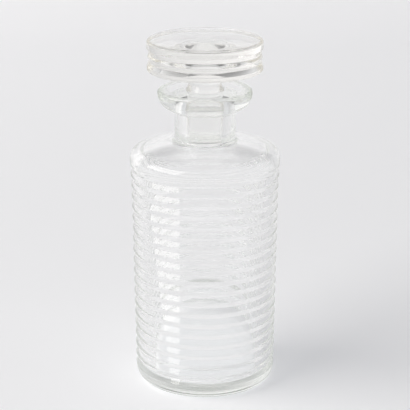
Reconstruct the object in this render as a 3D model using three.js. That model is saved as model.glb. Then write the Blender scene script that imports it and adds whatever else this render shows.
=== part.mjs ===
// Clear glass decanter: a ringed cylindrical bottle and the ground glass stopper that closes it.
// Millimetres, +Z up. The origin is the middle of the ring that the bottle stands on.
import * as THREE from 'three';

// Body of the bottle. The side wall leans out a little from the foot, and swells just under the shoulder.
const footDiameter = 90.5;
const wallDiameter = 94.6; // at the top of the side wall, without the swell
const shoulderSwell = 0.6;
const shoulderSwellHeight = 25;
const footBandHeight = 13.3; // table to the middle of the lowest groove
const grooveCount = 19;
const groovePitch = 7.21;
const topBandHeight = 6.95; // middle of the highest groove to the top of the side wall
const heelRadius = 8; // rounding between the side wall and the underside
const puntDiameter = 60; // shallow hollow in the underside
const puntDepth = 0.4;

// Inside of the body
const wallThickness = 3.3; // glass behind the grooves
const floorThickness = 8;
const innerHeelRadius = 6;
const innerShoulderRadius = 8;

// Shoulder: a rounded corner and a low dome, even in thickness
const shoulderCornerRadius = 6;
const shoulderDomeRadius = 130;
const shoulderThickness = 4.5;

// Neck and lip
const neckDiameter = 38.6;
const neckLength = 30.5; // foot of the neck to the mouth
const neckFootFillet = 2.5;
const lipDiameter = 60;
const lipUnderRadius = 11; // bowl-shaped underside of the lip
const lipUnderFillet = 2; // where that underside meets the neck
const lipEdgeRadius = 2.2;
const mouthEdgeRadius = 1.2;
const boreEndRadius = 3; // rounding where the bore opens into the body

// Plug of the stopper, ground to the same taper as the bore
const plugTopDiameter = 24.2; // at the level of the mouth
const plugEndDiameter = 20.8;
const plugLength = 35.5;
const plugEndRounding = 1;
const plugClearance = 0.3; // between the plug and the bore, all round

// Shank and head of the stopper
const shankDiameter = 20.6; // at the waist
const shankHeight = 12.1; // mouth to the underside of the head
const shankFlare = 9; // rounding from the waist out to the underside of the head
const headDiameter = 73;
const headHeight = 19.7;
const headLowerRounding = 1.5;
const headUpperRounding = 1.8;
const headGrooveHeight = 6; // underside to the middle of the lower groove
const headGrooveCount = 2;
const headGroovePitch = 5.7;
const middleRibInset = 0.5; // how far the rib between the grooves stands back from the two bands

// Rings round the wall and the head: straight flanks between rounded ridges and rounded grooves
const flankLean = 21; // degrees from upright
const ridgeRounding = 0.5;
const grooveRounding = 0.4;

// Fineness of the facets
const facetsAround = 32;
const ringArcSteps = 2;
const smallArcSteps = 3;
const largeArcSteps = 5;

// Points along a circular arc in the plane of radius and height, between two angles in radians.
// Angle 0 points away from the axis, and a quarter turn points up.
function arc(centreRadius, centreHeight, radius, startAngle, endAngle, steps) {
  const points = [];
  for (let step = 0; step <= steps; step += 1) {
    const angle = startAngle + ((endAngle - startAngle) * step) / steps;
    const across = centreRadius + radius * Math.cos(angle);
    const height = centreHeight + radius * Math.sin(angle);
    points.push(new THREE.Vector2(across, height));
  }
  return points;
}

// Runs of points joined into one outline, with no point twice in a row.
function outlineOf(...runs) {
  const sameSpot = 1e-6;
  const joined = [];
  for (const point of runs.flat()) {
    const last = joined.at(-1);
    if (!last || last.distanceTo(point) > sameSpot) joined.push(point);
  }
  return joined;
}

// Depth of the grooves that the flanks leave at a pitch, below the ridges
function grooveDepth(pitch) {
  const lostToRoundings = (ridgeRounding + grooveRounding) * (1 / Math.cos(flankAngle) - 1);
  return (pitch / 2) * Math.tan(flankAngle) - lostToRoundings;
}

// Outline of the rings, upwards from the ridge under the lowest groove to the ridge over the highest.
// crestRadius gives the radius over the ridges at a height.
function rings(lowestGroove, count, pitch, crestRadius) {
  const grooveCentre = grooveRounding - grooveDepth(pitch);
  const grooveStart = halfTurn + flankAngle;
  const grooveEnd = halfTurn - flankAngle;
  const points = arc(-ridgeRounding, lowestGroove - pitch / 2, ridgeRounding, 0, flankAngle, ringArcSteps);
  for (let groove = 0; groove < count; groove += 1) {
    const middle = lowestGroove + groove * pitch;
    const ridge = middle + pitch / 2;
    const ridgeEnd = groove === count - 1 ? 0 : flankAngle;
    points.push(...arc(grooveCentre, middle, grooveRounding, grooveStart, grooveEnd, ringArcSteps));
    points.push(...arc(-ridgeRounding, ridge, ridgeRounding, -flankAngle, ridgeEnd, ringArcSteps));
  }
  return points.map((point) => new THREE.Vector2(crestRadius(point.y) + point.x, point.y));
}

// Height of the centre of a circle that touches a dome and reaches a given radius from the axis
function heightBesideDome(domeCentre, distance, centreRadius) {
  return domeCentre + Math.sqrt(distance ** 2 - centreRadius ** 2);
}

// Angles, levels and radii that several stretches of the outlines share
const halfTurn = Math.PI;
const quarterTurn = Math.PI / 2;
const flankAngle = THREE.MathUtils.degToRad(flankLean);
const footRadius = footDiameter / 2;
const shoulderRadius = wallDiameter / 2 + shoulderSwell;
const neckRadius = neckDiameter / 2;
const wallTop = footBandHeight + (grooveCount - 1) * groovePitch + topBandHeight;
const cornerCentreRadius = shoulderRadius - shoulderCornerRadius;
const domeReach = shoulderDomeRadius - shoulderCornerRadius;
const domeCentre = wallTop - Math.sqrt(domeReach ** 2 - cornerCentreRadius ** 2);
const neckFilletRadius = neckRadius + neckFootFillet;
const neckFoot = heightBesideDome(domeCentre, shoulderDomeRadius + neckFootFillet, neckFilletRadius);
const mouthHeight = neckFoot + neckLength;

// Radius of the leaning side wall without its swell, at a height above the table
function leaningRadius(height) {
  return footRadius + ((wallDiameter / 2 - footRadius) * height) / wallTop;
}

// Radius of the side wall over the rings, at a height above the table
function wallRadius(height) {
  const swellStart = wallTop - shoulderSwellHeight;
  const swell = THREE.MathUtils.smoothstep(height, swellStart, wallTop);
  return leaningRadius(height) + shoulderSwell * swell;
}

// Radius of the cavity behind the grooves, at a height above the table
function cavityRadius(height) {
  return leaningRadius(height) - grooveDepth(groovePitch) - wallThickness;
}

// Radius of the plug's taper, at a depth below the mouth
function plugRadius(depth) {
  return (plugTopDiameter - ((plugTopDiameter - plugEndDiameter) * depth) / plugLength) / 2;
}

// Radius of the bore, at a height above the table
function boreRadius(height) {
  return plugRadius(mouthHeight - height) + plugClearance;
}

// Underside, heel and ringed side wall, upwards from the axis
function bodyOutside() {
  const heel = Math.min(heelRadius, footBandHeight - groovePitch / 2);
  const underside = [new THREE.Vector2(0, puntDepth), new THREE.Vector2(puntDiameter / 2, 0)];
  const heelArc = arc(footRadius - heel, heel, heel, -quarterTurn, 0, largeArcSteps);
  const wall = rings(footBandHeight, grooveCount, groovePitch, wallRadius);
  return [...underside, ...heelArc, ...wall];
}

// Shoulder corner, dome and the fillet at the foot of the neck, upwards
function shoulderOutside() {
  const cornerAngle = Math.atan2(wallTop - domeCentre, cornerCentreRadius);
  const filletAngle = Math.atan2(neckFoot - domeCentre, neckFilletRadius);
  return [
    ...arc(cornerCentreRadius, wallTop, shoulderCornerRadius, 0, cornerAngle, largeArcSteps),
    ...arc(0, domeCentre, shoulderDomeRadius, cornerAngle, filletAngle, smallArcSteps),
    ...arc(neckFilletRadius, neckFoot, neckFootFillet, halfTurn + filletAngle, halfTurn, smallArcSteps),
  ];
}

// Fillet under the lip, its bowl-shaped underside, its edge and the edge of the mouth, upwards and in
function lipOutside() {
  const lipRadius = lipDiameter / 2;
  const underCentre = lipRadius - lipUnderRadius;
  const lipLevel = mouthHeight - lipEdgeRadius;
  const filletCentre = neckRadius + lipUnderFillet;
  const across = underCentre - filletCentre;
  const rise = Math.sqrt((lipUnderRadius + lipUnderFillet) ** 2 - across ** 2);
  const meetingAngle = Math.atan2(rise, across);
  const mouthCentre = boreRadius(mouthHeight - mouthEdgeRadius) + mouthEdgeRadius;
  const mouthLevel = mouthHeight - mouthEdgeRadius;
  return [
    ...arc(filletCentre, lipLevel - rise, lipUnderFillet, halfTurn, meetingAngle, smallArcSteps),
    ...arc(underCentre, lipLevel, lipUnderRadius, meetingAngle - halfTurn, 0, largeArcSteps),
    ...arc(lipRadius - lipEdgeRadius, lipLevel, lipEdgeRadius, 0, quarterTurn, smallArcSteps),
    ...arc(mouthCentre, mouthLevel, mouthEdgeRadius, quarterTurn, halfTurn, smallArcSteps),
  ];
}

// Lower end of the bore, inside of the shoulder, inner wall and floor, downwards to the axis
function cavity() {
  const domeRadius = shoulderDomeRadius - shoulderThickness;
  const boreEndCentre = boreRadius(domeCentre + domeRadius) + boreEndRadius;
  const boreEnd = heightBesideDome(domeCentre, domeRadius + boreEndRadius, boreEndCentre);
  const boreAngle = Math.atan2(boreEnd - domeCentre, boreEndCentre);
  const cornerCentre = cavityRadius(wallTop) - innerShoulderRadius;
  const cornerHeight = heightBesideDome(domeCentre, domeRadius - innerShoulderRadius, cornerCentre);
  const cornerAngle = Math.atan2(cornerHeight - domeCentre, cornerCentre);
  const heelHeight = floorThickness + innerHeelRadius;
  const heelCentre = cavityRadius(heelHeight) - innerHeelRadius;
  return [
    ...arc(boreEndCentre, boreEnd, boreEndRadius, halfTurn, halfTurn + boreAngle, smallArcSteps),
    ...arc(0, domeCentre, domeRadius, boreAngle, cornerAngle, smallArcSteps),
    ...arc(cornerCentre, cornerHeight, innerShoulderRadius, cornerAngle, 0, largeArcSteps),
    ...arc(heelCentre, heelHeight, innerHeelRadius, 0, -quarterTurn, largeArcSteps),
    new THREE.Vector2(0, floorThickness),
  ];
}

// Plug and shank of the stopper, upwards from the axis. Heights here are from the mouth.
function plugAndShank() {
  const endCentre = plugEndDiameter / 2 - plugEndRounding;
  const endHeight = plugEndRounding - plugLength;
  const flareCentre = shankDiameter / 2 + shankFlare;
  const flareHeight = shankHeight - shankFlare;
  return [
    new THREE.Vector2(0, -plugLength),
    ...arc(endCentre, endHeight, plugEndRounding, -quarterTurn, 0, smallArcSteps),
    new THREE.Vector2(plugTopDiameter / 2, 0),
    ...arc(flareCentre, flareHeight, shankFlare, halfTurn, quarterTurn, largeArcSteps),
  ];
}

// Head of the stopper with its two grooves, upwards to the axis. Heights here are from the mouth.
function head() {
  const rim = headDiameter / 2;
  const top = shankHeight + headHeight;
  const lowestGroove = shankHeight + headGrooveHeight;
  const ringedHeight = headGrooveCount * headGroovePitch;
  const middle = lowestGroove + (ringedHeight - headGroovePitch) / 2;
  const lowerCentre = rim - headLowerRounding;
  const lowerLevel = shankHeight + headLowerRounding;
  const upperCentre = rim - headUpperRounding;
  const upperLevel = top - headUpperRounding;
  const crestRadius = (height) => {
    const across = (height - middle) / ringedHeight;
    return rim - middleRibInset * Math.cos(Math.PI * across) ** 2;
  };
  return [
    ...arc(lowerCentre, lowerLevel, headLowerRounding, -quarterTurn, 0, smallArcSteps),
    ...rings(lowestGroove, headGrooveCount, headGroovePitch, crestRadius),
    ...arc(upperCentre, upperLevel, headUpperRounding, 0, quarterTurn, smallArcSteps),
    new THREE.Vector2(0, top),
  ];
}

// A named piece of glass, turned from its outline about the axis
function turnedGlass(name, outline, colour) {
  const glass = new THREE.MeshStandardMaterial({
    color: colour,
    roughness: 0.04,
    metalness: 0,
    transparent: true,
    opacity: 0.35,
  });
  const piece = new THREE.Mesh(new THREE.LatheGeometry(outline, facetsAround), glass);
  piece.name = name;
  return piece;
}

const bottleOutline = outlineOf(bodyOutside(), shoulderOutside(), lipOutside(), cavity());
const bottle = turnedGlass('bottle', bottleOutline, 0xeef2ef);
const stopper = turnedGlass('stopper', outlineOf(plugAndShank(), head()), 0xf0f0e6);
stopper.position.y = mouthHeight;

// The outlines turn about the Y axis, so the whole decanter is stood up along Z.
const decanter = new THREE.Group();
decanter.name = 'decanter';
decanter.add(bottle, stopper);
decanter.rotation.x = quarterTurn;

export default decanter;
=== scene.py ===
"""Looks of a clear glass decanter: a ringed bottle and its wide stopper, on a pale sweep in soft light.

Sizes in the dataclasses are millimetres unless the field's name says otherwise. The meshes are in metres,
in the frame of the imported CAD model, with +Z up along the axis of both pieces.
"""

import logging
import math
from collections.abc import Callable
from dataclasses import dataclass, field
from enum import Enum

import bpy
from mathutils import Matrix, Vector


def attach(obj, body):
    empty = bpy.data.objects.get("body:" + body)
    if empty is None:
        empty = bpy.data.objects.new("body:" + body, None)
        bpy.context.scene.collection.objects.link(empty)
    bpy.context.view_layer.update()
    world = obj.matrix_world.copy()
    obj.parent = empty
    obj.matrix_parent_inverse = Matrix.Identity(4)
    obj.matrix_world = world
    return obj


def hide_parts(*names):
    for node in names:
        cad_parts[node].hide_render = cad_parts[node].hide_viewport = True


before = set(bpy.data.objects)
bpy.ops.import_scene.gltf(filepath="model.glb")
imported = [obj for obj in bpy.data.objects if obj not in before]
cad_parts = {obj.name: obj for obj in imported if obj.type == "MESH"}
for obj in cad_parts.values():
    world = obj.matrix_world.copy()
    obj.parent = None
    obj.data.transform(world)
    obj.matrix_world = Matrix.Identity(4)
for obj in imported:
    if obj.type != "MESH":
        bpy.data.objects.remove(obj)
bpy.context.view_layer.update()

LOG = logging.getLogger("decanter")
MM = 0.001
HALF_TURN = math.pi
QUARTER_TURN = math.pi / 2
PHOTO_PIXELS = 410

# Fineness of the turned meshes
STEPS_AROUND = 176
RING_ARC_STEPS = 6
SMALL_ARC_STEPS = 7
LARGE_ARC_STEPS = 14
SUPPORT_SHARE = 0.04  # how far from a flat's ends its supporting points lie, which keep its shading flat
SHORTEST_STEP = 0.001  # shorter steps of an outline are left out
MERGE_DISTANCE = 0.002
SHARP_ANGLE_DEG = 50.0  # edges sharper than this stay crisp

AFTER_PAPER = 0.5  # between no bounce off the paper and one

Point = tuple[float, float]  # radius and height of a spot on an outline


class Ray(Enum):
    """Kinds of ray that see the surroundings as a plain pale backdrop."""

    CAMERA = "Is Camera Ray"
    GLOSSY = "Is Glossy Ray"
    TRANSMISSION = "Is Transmission Ray"


def linear(colour: str) -> tuple[float, float, float, float]:
    """Turns an sRGB colour into the linear one that shaders take.

    Args:
        colour: hex colour such as "#F4F4F2".

    Returns:
        Linear red, green, blue and an alpha of 1.
    """
    channels = [int(colour[place : place + 2], 16) / 255 for place in (1, 3, 5)]
    red, green, blue = (c / 12.92 if c <= 0.04045 else ((c + 0.055) / 1.055) ** 2.4 for c in channels)
    return red, green, blue, 1.0


def add_node(
    tree: bpy.types.NodeTree,
    kind: str,
    settings: dict[str, object] | None = None,
    values: dict[str | int, object] | None = None,
    links: dict[str | int, bpy.types.NodeSocket] | None = None,
) -> bpy.types.Node:
    """Adds one node with its settings, plain input values and links.

    Args:
        tree: node tree that gets the node.
        kind: Blender's identifier of the node.
        settings: properties of the node itself.
        values: plain values by input name or number.
        links: output sockets by the input name or number that they feed.

    Returns:
        The new node.
    """
    node = tree.nodes.new(kind)
    for name, setting in (settings or {}).items():
        setattr(node, name, setting)
    for name, value in (values or {}).items():
        node.inputs[name].default_value = value
    for name, socket in (links or {}).items():
        tree.links.new(socket, node.inputs[name])
    return node


def calculate(
    tree: bpy.types.NodeTree,
    operation: str,
    first: bpy.types.NodeSocket,
    second: bpy.types.NodeSocket | float = 0.0,
) -> bpy.types.NodeSocket:
    """Adds one step of arithmetic between sockets, or between a socket and a number.

    Args:
        tree: node tree that gets the step.
        operation: Blender's name of the operation.
        first: socket with the first value.
        second: socket with the second value, or the number itself.

    Returns:
        The socket of the result.
    """
    step = add_node(tree, "ShaderNodeMath", {"operation": operation}, None, {0: first})
    if isinstance(second, float):
        step.inputs[1].default_value = second
    else:
        tree.links.new(second, step.inputs[1])
    return step.outputs[0]


def smooth_range(
    tree: bpy.types.NodeTree, value: bpy.types.NodeSocket, limits: tuple[float, float]
) -> bpy.types.NodeSocket:
    """Adds a smooth rise from 0 at the first limit to 1 at the second.

    Args:
        tree: node tree that gets the rise.
        value: socket with the value.
        limits: values at which the rise starts and ends.

    Returns:
        The socket of the rise.
    """
    rise = add_node(
        tree,
        "ShaderNodeMapRange",
        {"interpolation_type": "SMOOTHSTEP"},
        {"From Min": limits[0], "From Max": limits[1]},
        {"Value": value},
    )
    return rise.outputs["Result"]


def arc(centre: Point, radius: float, start: float, end: float, steps: int) -> list[Point]:
    """Gives points along a circular arc in the plane of radius and height.

    Args:
        centre: centre of the circle.
        radius: radius of the circle.
        start: first angle in radians; 0 points away from the axis and a quarter turn points up.
        end: last angle in radians.
        steps: number of chords.

    Returns:
        The points, both ends included.
    """
    angles = [start + (end - start) * step / steps for step in range(steps + 1)]
    return [(centre[0] + radius * math.cos(a), centre[1] + radius * math.sin(a)) for a in angles]


def supports(start: Point, end: Point) -> list[Point]:
    """Gives the two supporting points of a straight stretch of an outline.

    Args:
        start: first point of the stretch.
        end: last point of the stretch.

    Returns:
        The points just inside its ends.
    """
    shares = (SUPPORT_SHARE, 1 - SUPPORT_SHARE)
    return [(start[0] + (end[0] - start[0]) * s, start[1] + (end[1] - start[1]) * s) for s in shares]


@dataclass(frozen=True)
class RingCut:
    """Rings round a wall: straight flanks between rounded ridges and rounded grooves, at an even pitch."""

    pitch: float
    count: int  # of grooves
    flank_deg: float = 21.0  # how far the flanks lean from upright
    ridge_rounding: float = 0.5
    groove_rounding: float = 0.4

    @property
    def depth(self) -> float:
        """Depth of the grooves below the ridges."""
        flank = math.radians(self.flank_deg)
        lost = (self.ridge_rounding + self.groove_rounding) * (1 / math.cos(flank) - 1)
        return self.pitch / 2 * math.tan(flank) - lost

    def points(self, lowest: float, crest: Callable[[float], float]) -> list[Point]:
        """Gives the outline of the rings, from the ridge under the lowest groove to the highest ridge.

        Args:
            lowest: height of the middle of the lowest groove.
            crest: radius over the ridges at a height.

        Returns:
            The points, upwards.
        """
        flank = math.radians(self.flank_deg)
        ridge_centre = -self.ridge_rounding
        groove_centre = self.groove_rounding - self.depth
        cut = arc((ridge_centre, lowest - self.pitch / 2), self.ridge_rounding, 0, flank, RING_ARC_STEPS)
        for groove in range(self.count):
            middle = lowest + groove * self.pitch
            ridge = middle + self.pitch / 2
            last = 0 if groove == self.count - 1 else flank
            low, high = HALF_TURN + flank, HALF_TURN - flank
            for bend in (
                arc((groove_centre, middle), self.groove_rounding, low, high, RING_ARC_STEPS),
                arc((ridge_centre, ridge), self.ridge_rounding, -flank, last, RING_ARC_STEPS),
            ):
                cut += supports(cut[-1], bend[0]) + bend
        return [(crest(height) + inset, height) for inset, height in cut]


def height_beside_dome(dome_centre: float, distance: float, radius: float) -> float:
    """Gives the height of a circle's centre, a distance from a dome's centre and a radius from the axis."""
    return dome_centre + math.sqrt(distance**2 - radius**2)


def smooth_step(value: float, start: float, end: float) -> float:
    """Rises smoothly from 0 at start to 1 at end."""
    share = min(max((value - start) / (end - start), 0.0), 1.0)
    return share * share * (3 - 2 * share)


def turned_mesh(name: str, outline: list[Point]) -> bpy.types.Object:
    """Models a solid of revolution: one vertex is extruded along the outline and spun round the axis.

    Args:
        name: name of the new object.
        outline: points in millimetres, from the axis back to the axis.

    Returns:
        The object, at the origin, with its place in its mesh.
    """
    bpy.ops.object.select_all(action="DESELECT")
    bpy.ops.mesh.primitive_plane_add(size=MM, location=(0, 0, 0))
    piece = bpy.context.object
    piece.name = name
    piece.data.name = name
    bpy.ops.object.mode_set(mode="EDIT")
    bpy.ops.mesh.select_all(action="SELECT")
    bpy.ops.mesh.merge(type="CENTER")
    bpy.ops.transform.translate(value=(outline[0][0] * MM, 0, outline[0][1] * MM))
    for (radius, height), (next_radius, next_height) in zip(outline, outline[1:]):
        step = ((next_radius - radius) * MM, 0, (next_height - height) * MM)
        if math.hypot(*step) > SHORTEST_STEP * MM:
            bpy.ops.mesh.extrude_vertices_move(TRANSFORM_OT_translate={"value": step})
    bpy.ops.mesh.select_all(action="SELECT")
    bpy.ops.mesh.spin(steps=STEPS_AROUND, angle=2 * math.pi, center=(0, 0, 0), axis=(0, 0, 1))
    bpy.ops.mesh.select_all(action="SELECT")
    bpy.ops.mesh.remove_doubles(threshold=MERGE_DISTANCE * MM)
    bpy.ops.mesh.normals_make_consistent(inside=False)
    bpy.ops.object.mode_set(mode="OBJECT")
    bpy.ops.object.shade_smooth_by_angle(angle=math.radians(SHARP_ANGLE_DEG))
    return piece


@dataclass(frozen=True)
class DullZone:
    """Stretch of a surface that isn't polished: a band of heights, out to a radius from the axis."""

    bottom: float
    top: float
    reach: float
    roughness: float
    edge: float = 0.6
    grit: float = 1.0  # share of the grinding grit that it shows

    def mask(
        self, tree: bpy.types.NodeTree, height: bpy.types.NodeSocket, radius: bpy.types.NodeSocket
    ) -> bpy.types.NodeSocket:
        """Adds the nodes that give 1 inside the zone and 0 outside it.

        Args:
            tree: node tree of the material.
            height: socket with the height in metres.
            radius: socket with the distance from the axis in metres.

        Returns:
            The socket of the mask.
        """
        above = smooth_range(tree, height, ((self.bottom - self.edge) * MM, self.bottom * MM))
        below = smooth_range(tree, height, ((self.top + self.edge) * MM, self.top * MM))
        within = smooth_range(tree, radius, ((self.reach + self.edge) * MM, self.reach * MM))
        return calculate(tree, "MULTIPLY", calculate(tree, "MULTIPLY", above, below), within)


@dataclass(frozen=True)
class ClearGlass:
    """Soda-lime glass, pressed in a mould and fire polished.

    The eye gets a bright, nearly colourless piece: sharp mirror lights on the rings, a faint swell in what
    shows through it, a breath of green or straw where the glass is thick, and dull grey where it is ground.
    """

    name: str
    depth_colour: str
    depth_density: float  # share of light lost per metre, in the tint's weaker channels
    ior: float = 1.52
    swell_spacing: float = 26.0  # slow swells that the mould leaves
    swell_height: float = 0.02
    swell_layers: float = 1.0  # finer layers of its noise
    smear_spacing: float = 34.0  # faint haze where the glass was handled and wiped
    smear_layers: float = 4.0
    smear_start: float = 0.45  # level of the smears' noise at which the haze begins
    smear_full: float = 0.75
    polished_roughness: float = 0.025
    smeared_roughness: float = 0.03
    grit_spacing: float = 0.9  # real grinding grit is finer; drawn as coarse as the render can show
    grit_height: float = 0.02
    grit_layers: float = 2.0
    layer_fading: float = 0.5  # how strong each finer layer of a noise is next to the one before
    dull_zones: tuple[DullZone, ...] = ()

    def material(self) -> bpy.types.Material:
        """Builds the node material.

        Returns:
            The material, with glass at its surface and a faint tint in its volume.
        """
        material = bpy.data.materials.new(self.name)
        material.use_nodes = True
        tree = material.node_tree
        tree.nodes.clear()
        place = add_node(tree, "ShaderNodeTexCoord").outputs["Object"]
        split = add_node(tree, "ShaderNodeSeparateXYZ", None, None, {0: place})
        flat = add_node(
            tree,
            "ShaderNodeCombineXYZ",
            None,
            None,
            {"X": split.outputs["X"], "Y": split.outputs["Y"]},
        )
        reach = add_node(tree, "ShaderNodeVectorMath", {"operation": "LENGTH"}, None, {0: flat.outputs[0]})
        smears = self.noise(tree, place, self.smear_spacing, self.smear_layers)
        haze = add_node(
            tree,
            "ShaderNodeMapRange",
            None,
            {
                "From Min": self.smear_start,
                "From Max": self.smear_full,
                "To Min": self.polished_roughness,
                "To Max": self.smeared_roughness,
            },
            {"Value": smears},
        )
        roughness = haze.outputs["Result"]
        swell = add_node(
            tree,
            "ShaderNodeBump",
            None,
            {"Strength": 1.0, "Distance": self.swell_height * MM},
            {"Height": self.noise(tree, place, self.swell_spacing, self.swell_layers)},
        )
        normal = swell.outputs["Normal"]
        grit = self.noise(tree, place, self.grit_spacing, self.grit_layers)
        for zone in self.dull_zones:
            mask = zone.mask(tree, split.outputs["Z"], reach.outputs["Value"])
            dull = calculate(tree, "MULTIPLY", mask, zone.roughness)
            roughness = calculate(tree, "MAXIMUM", roughness, dull)
            shown_grit = calculate(tree, "MULTIPLY", mask, zone.grit)
            pits = calculate(tree, "MULTIPLY", grit, shown_grit)
            ground = add_node(
                tree,
                "ShaderNodeBump",
                None,
                {"Strength": 1.0, "Distance": self.grit_height * MM},
                {"Height": pits, "Normal": normal},
            )
            normal = ground.outputs["Normal"]
        glass = add_node(
            tree,
            "ShaderNodeBsdfPrincipled",
            None,
            {"Base Color": (1.0, 1.0, 1.0, 1.0), "IOR": self.ior, "Transmission Weight": 1.0},
            {"Roughness": roughness, "Normal": normal},
        )
        depth = add_node(
            tree,
            "ShaderNodeVolumeAbsorption",
            None,
            {"Color": linear(self.depth_colour), "Density": self.depth_density},
        )
        add_node(
            tree,
            "ShaderNodeOutputMaterial",
            None,
            None,
            {"Surface": glass.outputs[0], "Volume": depth.outputs[0]},
        )
        return material

    def noise(
        self, tree: bpy.types.NodeTree, place: bpy.types.NodeSocket, spacing: float, layers: float
    ) -> bpy.types.NodeSocket:
        """Adds a noise whose blotches are about a spacing apart.

        Args:
            tree: node tree of the material.
            place: socket with the object coordinates.
            spacing: size of a blotch in millimetres.
            layers: number of finer layers.

        Returns:
            The socket of the noise, from 0 to 1.
        """
        values = {"Scale": 1 / (spacing * MM), "Detail": layers, "Roughness": self.layer_fading}
        return add_node(tree, "ShaderNodeTexNoise", None, values, {"Vector": place}).outputs[0]


@dataclass(frozen=True)
class GroundTaper:
    """Taper to which the plug and the bore are ground, by depth below the mouth."""

    top_diameter: float = 24.2
    end_diameter: float = 20.8
    length: float = 35.5
    clearance: float = 0.3
    polished_end: float = 1.5  # the grinding stops this far from the ends
    ground_roughness: float = 0.1

    def plug_radius(self, depth: float) -> float:
        """Gives the radius of the plug at a depth below the mouth."""
        return (self.top_diameter - (self.top_diameter - self.end_diameter) * depth / self.length) / 2

    def bore_radius(self, depth: float) -> float:
        """Gives the radius of the bore at a depth below the mouth."""
        return self.plug_radius(depth) + self.clearance


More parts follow.
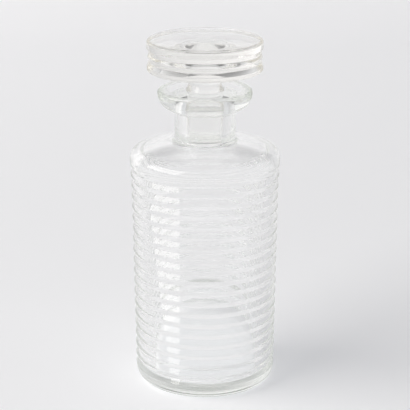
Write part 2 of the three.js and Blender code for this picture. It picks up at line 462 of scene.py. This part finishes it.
@dataclass
class Bottle:
    """The bottle: heavy base, ringed wall, domed shoulder, short neck and flared lip."""

    taper: GroundTaper
    foot_diameter: float = 90.5
    wall_diameter: float = 94.6  # at the top of the side wall, without the swell
    shoulder_swell: float = 0.6
    shoulder_swell_height: float = 25.0
    foot_band_height: float = 13.3  # table to the middle of the lowest groove
    cut: RingCut = RingCut(7.21, 19)
    top_band_height: float = 6.95  # middle of the highest groove to the top of the side wall
    heel_radius: float = 8.0
    punt_diameter: float = 60.0  # shallow hollow in the underside
    punt_depth: float = 0.4
    punt_steps: int = 6
    wall_thickness: float = 3.3  # glass behind the grooves
    floor_thickness: float = 8.0
    inner_heel_radius: float = 6.0
    inner_shoulder_radius: float = 8.0
    shoulder_corner_radius: float = 6.0
    shoulder_dome_radius: float = 130.0
    shoulder_thickness: float = 4.5
    neck_diameter: float = 38.6
    neck_length: float = 30.5  # foot of the neck to the mouth
    neck_foot_fillet: float = 2.5
    lip_diameter: float = 60.0
    lip_under_radius: float = 11.0  # bowl-shaped underside of the lip
    lip_under_fillet: float = 2.0
    lip_edge_radius: float = 2.2
    mouth_edge_radius: float = 1.2
    bore_end_radius: float = 3.0  # rounding where the bore opens into the body
    inner_roughness: float = 0.1  # faint haze of the inner wall, which evens out what shows through it
    worn_height: float = 0.05  # how far up the resting ring is scuffed
    worn_edge: float = 0.25
    worn_roughness: float = 0.22
    tint: str = "#E6EEDA"  # faint green of soda-lime glass where it is thick
    tint_density: float = 3.0
    piece: bpy.types.Object | None = field(default=None, init=False)

    @property
    def wall_top(self) -> float:
        """Height of the top of the side wall."""
        return self.foot_band_height + (self.cut.count - 1) * self.cut.pitch + self.top_band_height

    @property
    def corner_centre_radius(self) -> float:
        """Radius of the centre of the shoulder's rounded corner."""
        return self.wall_diameter / 2 + self.shoulder_swell - self.shoulder_corner_radius

    @property
    def dome_centre(self) -> float:
        """Height of the centre of the shoulder's dome."""
        reach = self.shoulder_dome_radius - self.shoulder_corner_radius
        return self.wall_top - math.sqrt(reach**2 - self.corner_centre_radius**2)

    @property
    def neck_foot(self) -> float:
        """Height of the centre of the fillet at the foot of the neck."""
        centre_radius = self.neck_diameter / 2 + self.neck_foot_fillet
        return height_beside_dome(
            self.dome_centre, self.shoulder_dome_radius + self.neck_foot_fillet, centre_radius
        )

    @property
    def mouth_height(self) -> float:
        """Height of the mouth."""
        return self.neck_foot + self.neck_length

    def leaning_radius(self, height: float) -> float:
        """Gives the radius of the leaning side wall without its swell."""
        foot = self.foot_diameter / 2
        return foot + (self.wall_diameter / 2 - foot) * height / self.wall_top

    def wall_radius(self, height: float) -> float:
        """Gives the radius of the side wall over its rings."""
        swell = smooth_step(height, self.wall_top - self.shoulder_swell_height, self.wall_top)
        return self.leaning_radius(height) + self.shoulder_swell * swell

    def cavity_radius(self, height: float) -> float:
        """Gives the radius of the cavity behind the grooves."""
        return self.leaning_radius(height) - self.cut.depth - self.wall_thickness

    def body_outside(self) -> list[Point]:
        """Gives the underside, heel and ringed wall, upwards from the axis.

        Returns:
            Points of the outline.
        """
        heel = min(self.heel_radius, self.foot_band_height - self.cut.pitch / 2)
        centre = (self.foot_diameter / 2 - heel, heel)
        shares = [step / self.punt_steps for step in range(self.punt_steps + 1)]
        punt_rim = self.punt_diameter / 2
        return [
            *((punt_rim * share, self.punt_depth * (1 - smooth_step(share, 0, 1))) for share in shares),
            *arc(centre, heel, -QUARTER_TURN, 0, LARGE_ARC_STEPS),
            *self.cut.points(self.foot_band_height, self.wall_radius),
        ]

    def shoulder_outside(self) -> list[Point]:
        """Gives the shoulder's corner, its dome and the fillet at the foot of the neck, upwards.

        Returns:
            Points of the outline.
        """
        corner_angle = math.atan2(self.wall_top - self.dome_centre, self.corner_centre_radius)
        fillet_centre = (self.neck_diameter / 2 + self.neck_foot_fillet, self.neck_foot)
        fillet_angle = math.atan2(self.neck_foot - self.dome_centre, fillet_centre[0])
        corner_centre = (self.corner_centre_radius, self.wall_top)
        dome_centre = (0, self.dome_centre)
        return [
            *arc(corner_centre, self.shoulder_corner_radius, 0, corner_angle, LARGE_ARC_STEPS),
            *arc(dome_centre, self.shoulder_dome_radius, corner_angle, fillet_angle, LARGE_ARC_STEPS),
            *arc(fillet_centre, self.neck_foot_fillet, HALF_TURN + fillet_angle, HALF_TURN, SMALL_ARC_STEPS),
        ]

    def lip_outside(self) -> list[Point]:
        """Gives the fillet under the lip, the lip and the edge of the mouth, upwards and in.

        Returns:
            Points of the outline.
        """
        lip_radius = self.lip_diameter / 2
        lip_level = self.mouth_height - self.lip_edge_radius
        under_centre = (lip_radius - self.lip_under_radius, lip_level)
        fillet_radius = self.neck_diameter / 2 + self.lip_under_fillet
        across = under_centre[0] - fillet_radius
        rise = math.sqrt((self.lip_under_radius + self.lip_under_fillet) ** 2 - across**2)
        meeting = math.atan2(rise, across)
        fillet_centre = (fillet_radius, lip_level - rise)
        edge_centre = (lip_radius - self.lip_edge_radius, lip_level)
        mouth_centre = (
            self.taper.bore_radius(self.mouth_edge_radius) + self.mouth_edge_radius,
            self.mouth_height - self.mouth_edge_radius,
        )
        return [
            *arc(fillet_centre, self.lip_under_fillet, HALF_TURN, meeting, SMALL_ARC_STEPS),
            *arc(under_centre, self.lip_under_radius, meeting - HALF_TURN, 0, LARGE_ARC_STEPS),
            *arc(edge_centre, self.lip_edge_radius, 0, QUARTER_TURN, LARGE_ARC_STEPS),
            *arc(mouth_centre, self.mouth_edge_radius, QUARTER_TURN, HALF_TURN, SMALL_ARC_STEPS),
        ]

    def inside(self) -> list[Point]:
        """Gives the lower end of the bore, the cavity's shoulder, wall and floor, downwards to the axis.

        Returns:
            Points of the outline.
        """
        dome_radius = self.shoulder_dome_radius - self.shoulder_thickness
        depth = self.mouth_height - self.dome_centre - dome_radius
        bore_end_radius = self.taper.bore_radius(depth) + self.bore_end_radius
        bore_end = height_beside_dome(self.dome_centre, dome_radius + self.bore_end_radius, bore_end_radius)
        bore_angle = math.atan2(bore_end - self.dome_centre, bore_end_radius)
        corner_radius = self.cavity_radius(self.wall_top) - self.inner_shoulder_radius
        corner_reach = dome_radius - self.inner_shoulder_radius
        corner = height_beside_dome(self.dome_centre, corner_reach, corner_radius)
        corner_angle = math.atan2(corner - self.dome_centre, corner_radius)
        heel = self.floor_thickness + self.inner_heel_radius
        heel_radius = self.cavity_radius(heel) - self.inner_heel_radius
        bore_end_centre = (bore_end_radius, bore_end)
        return [
            *arc(bore_end_centre, self.bore_end_radius, HALF_TURN, HALF_TURN + bore_angle, LARGE_ARC_STEPS),
            *arc((0, self.dome_centre), dome_radius, bore_angle, corner_angle, LARGE_ARC_STEPS),
            *arc((corner_radius, corner), self.inner_shoulder_radius, corner_angle, 0, LARGE_ARC_STEPS),
            *arc((heel_radius, heel), self.inner_heel_radius, 0, -QUARTER_TURN, LARGE_ARC_STEPS),
            (0, self.floor_thickness),
        ]

    def build(self) -> None:
        """Models the bottle and joins it to its CAD body."""
        outline = self.body_outside() + self.shoulder_outside() + self.lip_outside() + self.inside()
        self.piece = turned_mesh("bottle_glass", outline)
        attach(self.piece, "bottle")
        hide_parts("bottle")

    def dress(self) -> None:
        """Gives the bottle its glass, dull in the bore, on the worn resting ring and faintly inside."""
        taper = self.taper
        ground_bore = DullZone(
            self.mouth_height - taper.length,
            self.mouth_height - taper.polished_end,
            taper.bore_radius(0),
            taper.ground_roughness,
        )
        worn_ring = DullZone(
            -self.worn_height, self.worn_height, self.foot_diameter / 2, self.worn_roughness, self.worn_edge
        )
        inner_wall = DullZone(
            self.floor_thickness,
            self.wall_top - self.inner_shoulder_radius,
            self.cavity_radius(self.wall_top),
            self.inner_roughness,
            grit=0.0,
        )
        zones = (ground_bore, worn_ring, inner_wall)
        glass = ClearGlass("pressed_soda_lime_glass", self.tint, self.tint_density, dull_zones=zones)
        self.piece.data.materials.append(glass.material())


@dataclass
class Stopper:
    """The stopper: wide head with three bands and two grooves, short shank and ground plug.

    Its heights are from the mouth of the bottle.
    """

    taper: GroundTaper
    mouth_height: float
    plug_end_rounding: float = 1.0
    shank_diameter: float = 20.6  # at the waist
    shank_height: float = 12.1
    shank_flare: float = 9.0  # rounding from the waist out to the underside of the head
    head_diameter: float = 73.0
    head_height: float = 19.7
    head_lower_rounding: float = 1.5
    head_upper_rounding: float = 1.8
    groove_height: float = 6.0  # underside of the head to the middle of the lower groove
    cut: RingCut = RingCut(5.7, 2)
    middle_rib_inset: float = 0.5  # how far the rib between the grooves stands back from the two bands
    tint: str = "#F2ECD4"  # faint straw where the light goes through the whole width of the head
    tint_density: float = 2.5
    piece: bpy.types.Object | None = field(default=None, init=False)

    def plug_and_shank(self) -> list[Point]:
        """Gives the plug and the shank, upwards from the axis.

        Returns:
            Points of the outline.
        """
        end_centre = (
            self.taper.end_diameter / 2 - self.plug_end_rounding,
            self.plug_end_rounding - self.taper.length,
        )
        flare_centre = (
            self.shank_diameter / 2 + self.shank_flare,
            self.shank_height - self.shank_flare,
        )
        return [
            (0, -self.taper.length),
            *arc(end_centre, self.plug_end_rounding, -QUARTER_TURN, 0, SMALL_ARC_STEPS),
            (self.taper.top_diameter / 2, 0),
            *arc(flare_centre, self.shank_flare, HALF_TURN, QUARTER_TURN, LARGE_ARC_STEPS),
        ]

    def head(self) -> list[Point]:
        """Gives the head with its grooves, upwards to the axis.

        Returns:
            Points of the outline.
        """
        rim = self.head_diameter / 2
        top = self.shank_height + self.head_height
        lowest = self.shank_height + self.groove_height
        ringed_height = self.cut.count * self.cut.pitch
        middle = lowest + (ringed_height - self.cut.pitch) / 2

        def crest(height: float) -> float:
            """Gives the radius over the bands, which stand proud of the rib between them."""
            return rim - self.middle_rib_inset * math.cos(math.pi * (height - middle) / ringed_height) ** 2

        lower_centre = (rim - self.head_lower_rounding, self.shank_height + self.head_lower_rounding)
        upper_centre = (rim - self.head_upper_rounding, top - self.head_upper_rounding)
        return [
            *arc(lower_centre, self.head_lower_rounding, -QUARTER_TURN, 0, LARGE_ARC_STEPS),
            *self.cut.points(lowest, crest),
            *arc(upper_centre, self.head_upper_rounding, 0, QUARTER_TURN, LARGE_ARC_STEPS),
            (0, top),
        ]

    def build(self) -> None:
        """Models the stopper and joins it to its CAD body."""
        outline = self.plug_and_shank() + self.head()
        seated = [(radius, height + self.mouth_height) for radius, height in outline]
        self.piece = turned_mesh("stopper_glass", seated)
        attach(self.piece, "stopper")
        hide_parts("stopper")

    def dress(self) -> None:
        """Gives the stopper its glass, dull where the plug is ground."""
        taper = self.taper
        ground_plug = DullZone(
            self.mouth_height - taper.length + taper.polished_end,
            self.mouth_height - taper.polished_end,
            taper.plug_radius(0),
            taper.ground_roughness,
        )
        glass = ClearGlass("solid_soda_lime_glass", self.tint, self.tint_density, dull_zones=(ground_plug,))
        self.piece.data.materials.append(glass.material())


def select_edges(piece: bpy.types.Object, wanted: Callable[[Vector], bool]) -> None:
    """Selects, in object mode, the vertices that pass a test and the edges between them.

    Args:
        piece: object whose mesh is selected in.
        wanted: test of a vertex's place.
    """
    mesh = piece.data
    for polygon in mesh.polygons:
        polygon.select = False
    for vertex in mesh.vertices:
        vertex.select = wanted(vertex.co)
    for edge in mesh.edges:
        edge.select = all(mesh.vertices[end].select for end in edge.vertices)


@dataclass(frozen=True)
class Softbox:
    """An oblong studio lamp that faces a target. Azimuth 0 is the camera's side and grows to the right."""

    name: str
    target_m: tuple[float, float, float]
    azimuth_deg: float
    elevation_deg: float
    distance_m: float
    width_m: float
    height_m: float
    power_w: float
    colour: str
    mirrored: bool = True  # shows as a reflection on the glass

    def place(self) -> None:
        """Adds the lamp, turned to its target."""
        azimuth, elevation = math.radians(self.azimuth_deg), math.radians(self.elevation_deg)
        level = math.cos(elevation)
        towards = Vector((math.sin(azimuth) * level, -math.cos(azimuth) * level, math.sin(elevation)))
        turn = towards.to_track_quat("Z", "Y").to_euler()
        spot = Vector(self.target_m) + towards * self.distance_m
        bpy.ops.object.light_add(type="AREA", location=spot, rotation=turn)
        lamp = bpy.context.object
        lamp.name = self.name
        lamp.data.shape = "RECTANGLE"
        lamp.data.size = self.width_m
        lamp.data.size_y = self.height_m
        lamp.data.energy = self.power_w
        lamp.data.color = linear(self.colour)[:3]
        lamp.visible_glossy = self.mirrored
        lamp.visible_transmission = False


@dataclass(frozen=True)
class Studio:
    """Pale paper sweep, soft lamps, pale surroundings and the camera of the photo."""

    paper_colour: str = "#F1F1F2"
    paper_roughness: float = 0.9
    paper_gloss: float = 0.1
    floor_gap: float = 0.3  # the paper lies this far under the resting ring
    floor_front_m: float = 3.0
    floor_back_m: float = 1.5
    floor_half_width_m: float = 3.0
    sweep_height_m: float = 0.85
    sweep_radius_m: float = 0.5
    sweep_segments: int = 16
    room_colour: str = "#F6F7FA"
    room_strength: float = 0.59  # what the room adds on matt surfaces
    through_strength: float = 1.1  # what reaches the paper through the glass, from the room and the lamps
    dim_strength: float = 0.2  # how bright the glass sees the gap over the back of the sweep
    pale_strength: float = 0.8  # how bright it sees the walls
    wall_top: tuple[float, float] = (0.95, 0.75)  # upward share of a direction, where the walls end
    wall_drop: float = 0.55  # how much lower they end towards the back
    ceiling_edge: tuple[float, float] = (0.76, 0.86)  # upward share where the ceiling begins
    ceiling_share: float = 0.9  # its brightness, from dim at 0 to pale at 1
    front_edge: tuple[float, float] = (-0.4, -0.9)  # forward share where the room's darker front begins
    front_loss: float = 0.3  # how far the walls go from pale to dim there
    camera_back: float = 963.7
    camera_height: float = 438.1
    camera_pitch_deg: float = 18.41  # below the horizon
    focal_pixels: float = 1577.7
    sensor_width: float = 36.0
    camera_clip_m: float = 0.01
    light_bounces: int = 48
    paper_bounces: int = 8
    softboxes: tuple[Softbox, ...] = (
        Softbox(
            "key_softbox",
            target_m=(0, 0, 0.1),
            azimuth_deg=-70.5,
            elevation_deg=30.0,
            distance_m=4.0,
            width_m=4.4,
            height_m=2.9,
            power_w=125.0,
            colour="#FFFCF8",
        ),
        Softbox(
            "fill_softbox",
            target_m=(0.4, 0, 0),
            azimuth_deg=90.0,
            elevation_deg=45.0,
            distance_m=1.2,
            width_m=0.8,
            height_m=0.8,
            power_w=0.9,
            colour="#FFFFFF",
            mirrored=False,
        ),
        Softbox(
            "backdrop_softbox",
            target_m=(0.2, 1.5, 0.5),
            azimuth_deg=0.0,
            elevation_deg=30.0,
            distance_m=0.9,
            width_m=1.6,
            height_m=0.5,
            power_w=0.6,
            colour="#FFFFFF",
            mirrored=False,
        ),
    )

    def build_sweep(self) -> None:
        """Models the paper sweep: a floor whose back edge is drawn up, with a rounded fold."""
        bpy.ops.object.select_all(action="DESELECT")
        bpy.ops.mesh.primitive_plane_add(size=2, location=(0, 0, 0))  # so the resize gives half widths
        sweep = bpy.context.object
        sweep.name = "paper_sweep"
        bpy.ops.object.mode_set(mode="EDIT")
        bpy.ops.mesh.select_all(action="SELECT")
        depth = (self.floor_front_m + self.floor_back_m) / 2
        bpy.ops.transform.resize(value=(self.floor_half_width_m, depth, 1))
        middle = (self.floor_back_m - self.floor_front_m) / 2
        bpy.ops.transform.translate(value=(0, middle, -self.floor_gap * MM))
        bpy.ops.object.mode_set(mode="OBJECT")
        select_edges(sweep, lambda spot: spot.y > 0)
        bpy.ops.object.mode_set(mode="EDIT")
        bpy.ops.mesh.extrude_region_move(TRANSFORM_OT_translate={"value": (0, 0, self.sweep_height_m)})
        bpy.ops.object.mode_set(mode="OBJECT")
        half_way_up = self.sweep_height_m / 2
        select_edges(sweep, lambda spot: spot.y > 0 and spot.z < half_way_up)
        bpy.ops.object.mode_set(mode="EDIT")
        bpy.ops.mesh.bevel(offset=self.sweep_radius_m, segments=self.sweep_segments, affect="EDGES")
        bpy.ops.mesh.select_all(action="SELECT")
        bpy.ops.mesh.normals_make_consistent(inside=False)
        bpy.ops.object.mode_set(mode="OBJECT")
        bpy.ops.object.shade_smooth()
        sweep.data.materials.append(self.paper())

    def paper(self) -> bpy.types.Material:
        """Builds the matt paper of the sweep.

        Returns:
            The material.
        """
        material = bpy.data.materials.new("matt_paper")
        material.use_nodes = True
        tree = material.node_tree
        tree.nodes.clear()
        matt = add_node(
            tree,
            "ShaderNodeBsdfPrincipled",
            None,
            {
                "Base Color": linear(self.paper_colour),
                "Roughness": self.paper_roughness,
                "Specular IOR Level": self.paper_gloss,
            },
        )
        add_node(tree, "ShaderNodeOutputMaterial", None, None, {"Surface": matt.outputs[0]})
        return material

    def shown_strength(self, tree: bpy.types.NodeTree) -> bpy.types.NodeSocket:
        """Adds what the camera, mirrors and glass see of the room: pale, but dim over the back of the sweep.

        Args:
            tree: node tree of the world.

        Returns:
            The socket of the brightness.
        """
        way = add_node(tree, "ShaderNodeTexCoord").outputs["Generated"]
        split = add_node(tree, "ShaderNodeSeparateXYZ", None, None, {0: way})
        forward, upward = split.outputs["Y"], split.outputs["Z"]
        drop = calculate(tree, "MULTIPLY", forward, self.wall_drop)
        walls = smooth_range(tree, calculate(tree, "ADD", upward, drop), self.wall_top)
        loss = calculate(tree, "MULTIPLY", smooth_range(tree, forward, self.front_edge), self.front_loss)
        above = smooth_range(tree, upward, self.ceiling_edge)
        ceiling = calculate(tree, "MULTIPLY", above, self.ceiling_share)
        pale = calculate(tree, "MAXIMUM", calculate(tree, "SUBTRACT", walls, loss), ceiling)
        shown = add_node(
            tree,
            "ShaderNodeMapRange",
            None,
            {"To Min": self.dim_strength, "To Max": self.pale_strength},
            {"Value": pale},
        )
        return shown.outputs[0]

    def lit_strength(self, tree: bpy.types.NodeTree, rays: bpy.types.Node) -> bpy.types.NodeSocket:
        """Adds what the room gives the paper, straight or through the glass.

        Args:
            tree: node tree of the world.
            rays: its Light Path node.

        Returns:
            The socket of the brightness.
        """
        on_paper = calculate(tree, "GREATER_THAN", rays.outputs["Diffuse Depth"], AFTER_PAPER)
        through = calculate(tree, "MULTIPLY", rays.outputs[Ray.TRANSMISSION.value], on_paper)
        lit = add_node(
            tree,
            "ShaderNodeMapRange",
            None,
            {"To Min": self.room_strength, "To Max": self.through_strength},
            {"Value": through},
        )
        return lit.outputs[0]

    def build_surroundings(self) -> None:
        """Makes the room: one brightness for lighting, another for what the camera and the glass see."""
        world = bpy.data.worlds.new("pale_room")
        bpy.context.scene.world = world
        world.use_nodes = True
        tree = world.node_tree
        tree.nodes.clear()
        rays = add_node(tree, "ShaderNodeLightPath")
        seen = rays.outputs[Ray.CAMERA.value]
        for ray in (Ray.GLOSSY, Ray.TRANSMISSION):
            seen = calculate(tree, "MAXIMUM", seen, rays.outputs[ray.value])
        off_paper = calculate(tree, "LESS_THAN", rays.outputs["Diffuse Depth"], AFTER_PAPER)
        strength = add_node(
            tree,
            "ShaderNodeMapRange",
            None,
            None,
            {
                "Value": calculate(tree, "MULTIPLY", seen, off_paper),
                "To Min": self.lit_strength(tree, rays),
                "To Max": self.shown_strength(tree),
            },
        )
        glow = add_node(
            tree,
            "ShaderNodeBackground",
            None,
            {"Color": linear(self.room_colour)},
            {"Strength": strength.outputs[0]},
        )
        add_node(tree, "ShaderNodeOutputWorld", None, None, {"Surface": glow.outputs[0]})

    def build_camera(self) -> None:
        """Sets up the camera where the photo was taken from."""
        place = (0, -self.camera_back * MM, self.camera_height * MM)
        turn = (math.radians(90 - self.camera_pitch_deg), 0, 0)
        bpy.ops.object.camera_add(location=place, rotation=turn)
        camera = bpy.context.object
        camera.data.sensor_width = self.sensor_width
        camera.data.lens = self.focal_pixels / PHOTO_PIXELS * self.sensor_width
        camera.data.clip_start = self.camera_clip_m
        bpy.context.scene.camera = camera

    def build(self) -> None:
        """Builds the sweep, the room, the lamps and the camera."""
        self.build_sweep()
        self.build_surroundings()
        for softbox in self.softboxes:
            softbox.place()
        self.build_camera()
        scene = bpy.context.scene
        scene.view_settings.view_transform = "Standard"
        scene.cycles.max_bounces = self.light_bounces
        scene.cycles.transmission_bounces = self.light_bounces
        scene.cycles.glossy_bounces = self.light_bounces
        scene.cycles.diffuse_bounces = self.paper_bounces
        scene.cycles.blur_glossy = 0.0


def main() -> None:
    """Builds the decanter and its studio in order."""
    logging.basicConfig(level=logging.INFO, format="%(name)s: %(message)s")
    taper = GroundTaper()
    bottle = Bottle(taper)
    stopper = Stopper(taper, bottle.mouth_height)
    for part in (bottle, stopper):
        part.build()
        part.dress()
    Studio().build()


if __name__ == "__main__":
    main()
